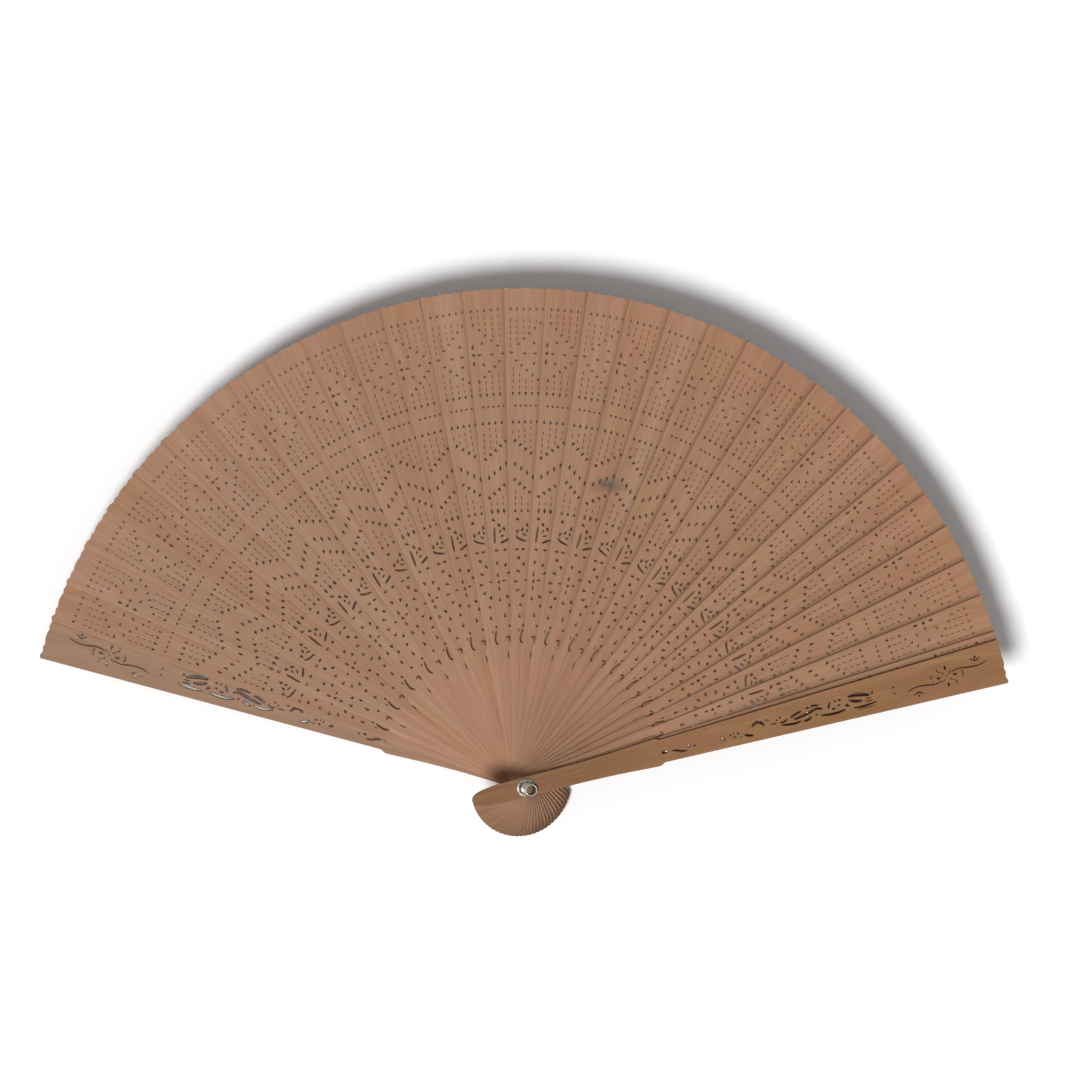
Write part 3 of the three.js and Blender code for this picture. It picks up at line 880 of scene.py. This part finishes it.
saw = bpy.data.node_groups.new("sawn slat", "GeometryNodeTree")
saw_sockets = {name: saw.interface.new_socket(name, in_out="INPUT", socket_type=kind)
               for name, kind in SAW_INPUTS.items()}
saw.interface.new_socket("Slat", in_out="OUTPUT", socket_type="NodeSocketGeometry")
given = saw.nodes.new("NodeGroupInput").outputs
of_cut = {name: add(saw, "GeometryNodeInputNamedAttribute", {"Name": name}, "Attribute", data_type=data_type)
          for name, data_type in CUT_ATTRIBUTES.items()}


def not_pinched(x, y):
    return x


def pinched_at_tail(x, y):
    fuller = add(saw, "ShaderNodeMath", [x, DROP_FULLNESS], operation="MULTIPLY")
    from_tail = add(saw, "ShaderNodeMath", [1.0, y], operation="SUBTRACT")
    return add(saw, "ShaderNodeMath", [fuller, from_tail], operation="MULTIPLY")


def pinched_at_both(x, y):
    """The fifth power of x, as SPINDLE_POWER says."""
    squared = add(saw, "ShaderNodeMath", [x, x], operation="MULTIPLY")
    fourth = add(saw, "ShaderNodeMath", [squared, squared], operation="MULTIPLY")
    return add(saw, "ShaderNodeMath", [x, fourth], operation="MULTIPLY")


def cut_shape(squeeze):
    """A circle of radius 1 whose width is changed by squeeze, which is given its x and y."""
    round_curve = add(saw, "GeometryNodeCurvePrimitiveCircle", {"Resolution": CUT_STEPS, "Radius": 1.0})
    place = add(saw, "GeometryNodeInputPosition")
    x, y, _ = add(saw, "ShaderNodeSeparateXYZ", [place]).node.outputs
    squeezed = add(saw, "ShaderNodeCombineXYZ", [squeeze(x, y), y])
    return add(saw, "GeometryNodeSetPosition", {"Geometry": round_curve, "Position": squeezed})


def points_of(kind):
    """Which points of the cutting are of that kind. Compare takes whole numbers by its inputs 2 and 3."""
    return add(saw, "FunctionNodeCompare", {2: of_cut["cut_kind"], 3: kind},
               data_type="INT", operation="EQUAL")


def loops_of(kind):
    return add(saw, "GeometryNodeMeshToCurve", {"Mesh": given["Cutting"], "Selection": points_of(kind)})


round_or_slit = add(saw, "FunctionNodeBooleanMath", [points_of(ROUND), points_of(SLIT)], operation="OR")
shapes = [(cut_shape(not_pinched), round_or_slit), (cut_shape(pinched_at_tail), points_of(DROP)),
          (cut_shape(pinched_at_both), points_of(SPINDLE))]
turn_of_cut = add(saw, "FunctionNodeAxisAngleToRotation", {"Axis": (0, 0, 1), "Angle": of_cut["cut_turn"]})


def curves_on_cuts(size, stroke_kind):
    curves = [loops_of(stroke_kind)]
    for shape, chosen in shapes:
        placed = add(saw, "GeometryNodeInstanceOnPoints", {
            "Points": given["Cutting"], "Selection": chosen, "Instance": shape, "Rotation": turn_of_cut,
            "Scale": size,
        })
        curves.append(add(saw, "GeometryNodeRealizeInstances", [placed]))
    return add(saw, "GeometryNodeJoinGeometry", [curves])


rim_of_cut = add(saw, "ShaderNodeCombineXYZ", [of_cut["cut_rim"], of_cut["cut_rim"]])
size_with_rim = add(saw, "ShaderNodeVectorMath", [of_cut["cut_size"], rim_of_cut], operation="ADD")
inner = curves_on_cuts(of_cut["cut_size"], INNER_STROKE)
outer = curves_on_cuts(size_with_rim, OUTER_STROKE)
print("curves for the cuts:", len(saw.nodes), "nodes so far")


# %% [markdown]
# The outline filled round the outer curves is the plain wood, and what lies between outer and inner curves
# is the dark rims, partly burnt and partly painted shade. Filling curves was chosen over cutting with booleans
# because it is exact and quick with hundreds of holes. The joined sheet carries two attributes for the wood. A
# point is marked for the dark rim where it lies on an open edge of the sheet but not on the slat's own outline.
# The edges are judged on their own domain, and then a point counts where any of its edges is open. Shelter is
# worked out from where the next slat's edge lies over this one.

# %% The sheet with its dark rims and shelter
WELD = 0.001
TAIL_HALF = 3.5

fills = []
for curves in ([loops_of(OUTLINE), outer], [outer, inner]):
    joined = add(saw, "GeometryNodeJoinGeometry", [curves])
    fills.append(add(saw, "GeometryNodeFillCurve", {"Curve": joined}, mode="TRIANGLES"))
joined = add(saw, "GeometryNodeJoinGeometry", [fills])
sheet = add(saw, "GeometryNodeMergeByDistance", {"Geometry": joined, "Distance": WELD})

faces_beside = add(saw, "GeometryNodeInputMeshEdgeNeighbors", (), "Face Count")
open_edge = add(saw, "FunctionNodeCompare", {2: faces_beside, 3: 1}, data_type="INT", operation="EQUAL")
at_opening = add(saw, "GeometryNodeFieldOnDomain", {"Value": open_edge}, data_type="BOOLEAN", domain="EDGE")
slat_edge = add(saw, "GeometryNodeSeparateGeometry", {
    "Geometry": given["Cutting"], "Selection": points_of(OUTLINE),
}, domain="POINT")
from_edge = add(saw, "GeometryNodeProximity", {"Geometry": slat_edge}, "Distance", target_element="EDGES")
off_edge = add(saw, "ShaderNodeMath", [from_edge, WELD], operation="GREATER_THAN")
# Where the dark rim goes: partly burning, partly painted shade.
scorch_and_shade_mask = add(saw, "ShaderNodeMath", [at_opening, off_edge], operation="MULTIPLY")

here = add(saw, "GeometryNodeInputPosition")
across, reach, _ = add(saw, "ShaderNodeSeparateXYZ", [here]).node.outputs
half = add(saw, "ShaderNodeMath", [reach, BLADE_HALF_GROWTH, BLADE_HALF_AT_PIVOT], operation="MULTIPLY_ADD")
sine_to_next = add(saw, "ShaderNodeMath", [given["Turn to next"]], operation="SINE")
next_middle = add(saw, "ShaderNodeMath", [reach, sine_to_next], operation="MULTIPLY")
next_edge = add(saw, "ShaderNodeMath", [next_middle, half], operation="SUBTRACT")
under_blade = add(saw, "ShaderNodeMath", [across, next_edge], operation="SUBTRACT")
next_tail_edge = add(saw, "ShaderNodeMath", [next_middle, TAIL_HALF], operation="ADD")
under_tail = add(saw, "ShaderNodeMath", [next_tail_edge, across], operation="SUBTRACT")
is_tail = add(saw, "ShaderNodeMath", [reach, 0.0], operation="LESS_THAN")
shelter = add(saw, "ShaderNodeMix", {"Factor": is_tail, "A": under_blade, "B": under_tail}, "Result")
for name, value in (("scorch", scorch_and_shade_mask), ("shelter", shelter)):
    sheet = add(saw, "GeometryNodeStoreNamedAttribute", {"Geometry": sheet, "Name": name, "Value": value},
                data_type="FLOAT", domain="POINT")
print("sheet with scorch and shelter:", len(saw.nodes), "nodes so far")


# %% [markdown]
# The sheet is extruded to the slat's thickness and closed from below by a copy of itself turned face down.
# It keeps its place on the slat as the attribute grain, and only then is it turned and lifted to its place.

# %% From sheet to slat
raised = add(saw, "GeometryNodeExtrudeMesh", {
    "Mesh": sheet, "Offset": (0, 0, 1), "Offset Scale": given["Thickness"], "Individual": False,
}, "Mesh", mode="FACES")
underside = add(saw, "GeometryNodeFlipFaces", {"Mesh": sheet})
joined = add(saw, "GeometryNodeJoinGeometry", [[raised, underside]])
slat_solid = add(saw, "GeometryNodeMergeByDistance", {"Geometry": joined, "Distance": WELD})
for name, value, data_type in (("grain", here, "FLOAT_VECTOR"), ("slat", given["Slat"], "FLOAT")):
    slat_solid = add(saw, "GeometryNodeStoreNamedAttribute", {
        "Geometry": slat_solid, "Name": name, "Value": value,
    }, data_type=data_type, domain="POINT")
lift = add(saw, "ShaderNodeCombineXYZ", {"Z": given["Bottom"]})
turn = add(saw, "FunctionNodeAxisAngleToRotation", {"Axis": (0, 0, 1), "Angle": given["Turn"]})
in_place = add(saw, "GeometryNodeTransform", {
    "Geometry": slat_solid, "Translation": lift, "Rotation": turn, "Scale": (MM, MM, MM),
})
real = add(saw, "GeometryNodeRealizeInstances", {"Geometry": in_place})
dressed = add(saw, "GeometryNodeSetMaterial", {"Geometry": real, "Material": given["Wood"]})
saw.links.new(dressed, saw.nodes.new("NodeGroupOutput").inputs[0])
print("geometry tree with", len(saw.nodes), "nodes")


# %% [markdown]
# Each slat is one object with this tree as its modifier. Its thickness and height come from the box of the
# CAD slat that it stands for. The evaluated result is kept as a plain mesh, so every slat can be exported
# and moved by itself. The front guard has no slat above it, so its shelter is set far away.

# %% Sawing the slats
NO_NEXT_SLAT = 90.0


def saw_slat(number, pattern, material):
    node = slat_names[number]
    low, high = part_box(node)
    to_next = turns_to_next[number] if number < len(turns_to_next) else NO_NEXT_SLAT
    blank = in_scene(bpy.data.objects.new(f"sawn_{node}", pattern))
    modifier = blank.modifiers.new("sawn slat", "NODES")
    modifier.node_group = saw
    values = {
        "Thickness": (high.z - low.z) / MM, "Bottom": low.z, "Turn": math.radians(slat_angle(node) - 90),
        "Turn to next": math.radians(to_next), "Slat": float(number), "Wood": material,
    }
    for socket_name, value in values.items():
        modifier[saw_sockets[socket_name].identifier] = value
    evaluated = blank.evaluated_get(bpy.context.evaluated_depsgraph_get())
    mesh = bpy.data.meshes.new_from_object(evaluated)
    name = blank.name
    bpy.data.objects.remove(blank)
    mesh.name = name
    piece = in_scene(bpy.data.objects.new(name, mesh))
    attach(piece, node)
    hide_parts(node)
    return piece


last = len(slat_names) - 1
slats = [saw_slat(0, back_pattern, back_guard_wood)]
for number in range(1, last):
    slats.append(saw_slat(number, odd_pattern if number % 2 else even_pattern, stick_wood))
slats.append(saw_slat(last, front_pattern, front_guard_wood))
print(len(slats), "slats,", sum(len(slat.data.polygons) for slat in slats), "faces")


# %% [markdown]
# The rivet and its washers are turned parts: a flat back head, a straight shank, and at the front a domed
# collar with an open eyelet over a plain washer. Such parts are drawn as a profile and spun round an axis,
# as on a lathe.

# %% The lathe
TURN_STEPS = 64


def turned(name, profile, centre=(0, 0), closed_profile=False):
    """The profile, a list of (radius, height), spun round. It ends on the axis or closes on itself."""
    verts, faces, rings = [], [], []
    for radius, height in profile:
        if radius == 0:
            rings.append([len(verts)])
            verts.append((centre[0] * MM, centre[1] * MM, height * MM))
            continue
        rings.append(list(range(len(verts), len(verts) + TURN_STEPS)))
        for i in range(TURN_STEPS):
            angle = 2 * math.pi * i / TURN_STEPS
            verts.append(((centre[0] + radius * math.cos(angle)) * MM,
                          (centre[1] + radius * math.sin(angle)) * MM, height * MM))
    pairs = list(zip(rings, rings[1:])) + ([(rings[-1], rings[0])] if closed_profile else [])
    for lower, upper in pairs:
        for i in range(TURN_STEPS):
            j = (i + 1) % TURN_STEPS
            corners = [lower[i % len(lower)], lower[j % len(lower)],
                       upper[j % len(upper)], upper[i % len(upper)]]
            faces.append(list(dict.fromkeys(corners)))
    mesh = bpy.data.meshes.new(name)
    mesh.from_pydata(verts, [], faces)
    mesh.shade_smooth()
    print(name, "has", len(faces), "faces")
    return in_scene(bpy.data.objects.new(name, mesh))


# %% [markdown]
# The metal is brass plated with nickel, gone dull with age. The eye sees a grey metal with uneven tarnish.
# Painted shade darkens the hollow of the eyelet, and a painted highlight makes a bright ring on the eyelet's
# rim. Blots of about a millimetre break up both the colour and the shine. Metal keeps the usual index of
# refraction.

# %% Tarnished nickel plate
EYELET_PLACE = (2.1, -0.8)
EYELET_RADIUS = 2.2
HOLLOW_EDGE = ((EYELET_RADIUS - 0.5) * MM, (EYELET_RADIUS - 0.4) * MM)
RIM_MIDDLE = (EYELET_RADIUS - 0.22) * MM
RIM_HIGHLIGHT_SPAN = (0.05 * MM, 0.2 * MM)
BLOT = 1.2 * MM
PLATE = "#807c70"
TARNISH = "#55524a"
HOLLOW_SHADE = "#5e4a38"
HIGHLIGHT_PLATE = "#b9b5ab"


def nickel_plate():
    material, tree, shader = new_material("nickel-plated brass, tarnished")
    shader.inputs["Metallic"].default_value = 1.0
    place = add(tree, "ShaderNodeTexCoord", (), "Object")
    blots = add(tree, "ShaderNodeTexNoise", {"Vector": place, "Scale": 1 / BLOT, "Detail": 3.0}, "Fac")
    tarnish = add(tree, "ShaderNodeMapRange", [blots, 0.42, 0.62, 0.0, 1.0])
    colour = add(tree, "ShaderNodeMix", {0: tarnish, 6: linear(PLATE), 7: linear(TARNISH)}, 2,
                 data_type="RGBA")
    level = add(tree, "ShaderNodeVectorMath", [place, (1, 1, 0)], operation="MULTIPLY")
    eyelet_middle = (EYELET_PLACE[0] * MM, EYELET_PLACE[1] * MM, 0)
    away = add(tree, "ShaderNodeVectorMath", [level, eyelet_middle], "Value", operation="DISTANCE")
    # Painted shade in the hollow of the eyelet.
    hollow = add(tree, "ShaderNodeMapRange", [away, *HOLLOW_EDGE, 0.9, 0.0])
    colour = add(tree, "ShaderNodeMix", {0: hollow, 6: colour, 7: linear(HOLLOW_SHADE)}, 2, data_type="RGBA")
    # Painted highlight: a bright ring on the eyelet's rim.
    from_rim = add(tree, "ShaderNodeMath", [away, RIM_MIDDLE], operation="SUBTRACT")
    from_rim = add(tree, "ShaderNodeMath", [from_rim], operation="ABSOLUTE")
    painted_highlight = add(tree, "ShaderNodeMapRange", [from_rim, *RIM_HIGHLIGHT_SPAN, 0.8, 0.0])
    colour = add(tree, "ShaderNodeMix", {0: painted_highlight, 6: colour, 7: linear(HIGHLIGHT_PLATE)}, 2, data_type="RGBA")
    roughness = add(tree, "ShaderNodeMapRange", [blots, 0.3, 0.7, 0.34, 0.52])
    bump = add(tree, "ShaderNodeBump", {"Height": blots, "Strength": 0.3, "Distance": 0.06 * MM})
    for key, value in (("Base Color", colour), ("Roughness", roughness), ("Normal", bump)):
        tree.links.new(value, shader.inputs[key])
    print("material", material.name, "with", len(tree.nodes), "nodes")
    return material


nickel = nickel_plate()


# %% [markdown]
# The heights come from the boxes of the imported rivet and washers, so the parts meet as the solids do. The
# washer, the collar and the eyelet each stand a little further to one side, as they do in the photograph.
# All of it is held by the back guard.

# %% The rivet and its washers
WASHER_PLACE = (0.3, -0.15)
COLLAR_PLACE = (0.75, -0.35)
WASHER_RADIUS = 3.4
WASHER_BEVEL = 0.12
SHANK_RADIUS = 1.15
HEAD_RADIUS = 2.6
rivet_low, rivet_high = (corner.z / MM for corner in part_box("rivet"))
washer_low, washer_high = (corner.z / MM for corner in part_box("front_washer"))
back_low, back_high = (corner.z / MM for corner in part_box("back_washer"))


def washer_profile(low, high):
    flat = WASHER_RADIUS - WASHER_BEVEL
    return [(RIVET_HOLE_RADIUS, low), (flat, low), (WASHER_RADIUS, low + WASHER_BEVEL),
            (WASHER_RADIUS, high - WASHER_BEVEL), (flat, high), (RIVET_HOLE_RADIUS, high)]


rivet = turned("rivet_pin", [
    (0, rivet_low), (2.2, rivet_low), (2.45, rivet_low + 0.12), (HEAD_RADIUS, rivet_low + 0.35),
    (HEAD_RADIUS, back_low), (SHANK_RADIUS, back_low), (SHANK_RADIUS, washer_high + 0.1),
    (0, washer_high + 0.1),
])
collar = turned("rivet_collar", [
    (0, washer_high), (2.6, washer_high), (2.55, washer_high + 0.25), (2.1, washer_high + 0.5),
    (1.3, washer_high + 0.6), (0, washer_high + 0.62),
], COLLAR_PLACE)
eyelet = turned("rivet_eyelet", [
    (1.75, washer_high + 0.3), (2.15, washer_high + 0.3), (EYELET_RADIUS, washer_high + 1.05),
    (2.1, washer_high + 1.25), (1.97, rivet_high), (1.83, washer_high + 1.25), (1.75, washer_high + 1.05),
], EYELET_PLACE, closed_profile=True)
front_washer = turned("washer_front", washer_profile(washer_low, washer_high), WASHER_PLACE,
                      closed_profile=True)
back_washer = turned("washer_back", washer_profile(back_low, back_high), closed_profile=True)
for piece, node in ((rivet, "rivet"), (collar, None), (eyelet, None), (front_washer, "front_washer"),
                    (back_washer, "back_washer")):
    piece.data.materials.append(nickel)
    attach(piece, "back_guard")
    if node:
        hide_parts(node)
print("rivet from", round(rivet_low, 2), "to", round(rivet_high, 2), "mm")


# %% [markdown]
# The photograph has a plain white ground with a soft shadow towards the upper right. The shadow is as wide
# at the right end as at the left, although the slats climb to the right. An open fan that lies on its rivet
# tips a little to one side and lifts its tips, so here the floor leans by those two angles under the level
# fan. The floor is pale for the light that bounces under the fan, and pure white only for the camera and
# for reflections.

# %% The floor
FLOOR_HALF = 4.0
FLOOR_RISE_RIGHT = math.radians(1.75)
FLOOR_FALL_TO_TIPS = math.radians(3.0)
FLOOR_CLEARANCE = 0.25 * MM
FLOOR_GLOW = 0.02


def seen_plainly(tree):
    """1 for rays from the camera and for reflections and refractions, otherwise 0."""
    rays = add(tree, "ShaderNodeLightPath").node.outputs
    mirrored_rays = [rays["Is Glossy Ray"], rays["Is Transmission Ray"]]
    in_mirror = add(tree, "ShaderNodeMath", mirrored_rays, operation="MAXIMUM")
    return add(tree, "ShaderNodeMath", [rays["Is Camera Ray"], in_mirror], operation="MAXIMUM")


def floor_material():
    material, tree, shader = new_material("matt white paper floor")
    shader.inputs["Roughness"].default_value = 1.0
    shader.inputs["Specular IOR Level"].default_value = 0.0
    shader.inputs["Emission Color"].default_value = (1, 1, 1, 1)
    plainly = seen_plainly(tree)
    colour = add(tree, "ShaderNodeMix", {0: plainly, 6: linear("#e6e6e6"), 7: linear("#ffffff")}, 2,
                 data_type="RGBA")
    glow = add(tree, "ShaderNodeMath", [plainly, FLOOR_GLOW], operation="MULTIPLY")
    tree.links.new(colour, shader.inputs["Base Color"])
    tree.links.new(glow, shader.inputs["Emission Strength"])
    return material


corners = [(x * FLOOR_HALF, y * FLOOR_HALF, 0) for x, y in ((-1, -1), (1, -1), (1, 1), (-1, 1))]
floor_mesh = bpy.data.meshes.new("floor")
floor_mesh.from_pydata(corners, [], [(0, 1, 2, 3)])
floor_mesh.materials.append(floor_material())
floor = in_scene(bpy.data.objects.new("floor", floor_mesh))
floor.location.z = cad_box[0][2] - FLOOR_CLEARANCE
floor.rotation_euler = (-FLOOR_FALL_TO_TIPS, -FLOOR_RISE_RIGHT, 0)
print("floor of", 2 * FLOOR_HALF, "m, at", round(floor.location.z / MM, 2), "mm")


# %% [markdown]
# A wide sun gives the soft shadow, and an even white sky fills the rest. Together they light a level
# surface so that its colour renders about as it is written. Seen by the camera, the sky has a strength of
# 1, which is white.

# %% Sun and sky
SKY_STRENGTH = 0.27
SUN_SHARE = 0.77
SUN_TILT = math.radians(26.5)
SHADOW_HEADING = math.radians(45)
SUN_WIDTH = math.radians(20)

sun_light = bpy.data.lights.new("sun", "SUN")
sun_light.energy = SUN_SHARE * math.pi / math.cos(SUN_TILT)
sun_light.angle = SUN_WIDTH
sun = in_scene(bpy.data.objects.new("sun", sun_light))
travel = Vector((math.sin(SUN_TILT) * math.cos(SHADOW_HEADING), math.sin(SUN_TILT) * math.sin(SHADOW_HEADING),
                 -math.cos(SUN_TILT)))
sun.rotation_euler = travel.to_track_quat("-Z", "Y").to_euler()

world = bpy.data.worlds.new("white sky")
world.use_nodes = True
bpy.context.scene.world = world
sky_tree = world.node_tree
strength = add(sky_tree, "ShaderNodeMapRange", [seen_plainly(sky_tree), 0.0, 1.0, SKY_STRENGTH, 1.0])
sky_tree.nodes["Background"].inputs["Color"].default_value = (1, 1, 1, 1)
sky_tree.links.new(strength, sky_tree.nodes["Background"].inputs["Strength"])
bpy.context.scene.view_settings.view_transform = "Standard"
print("sun of strength", round(sun_light.energy, 2), "and sky of strength", SKY_STRENGTH)
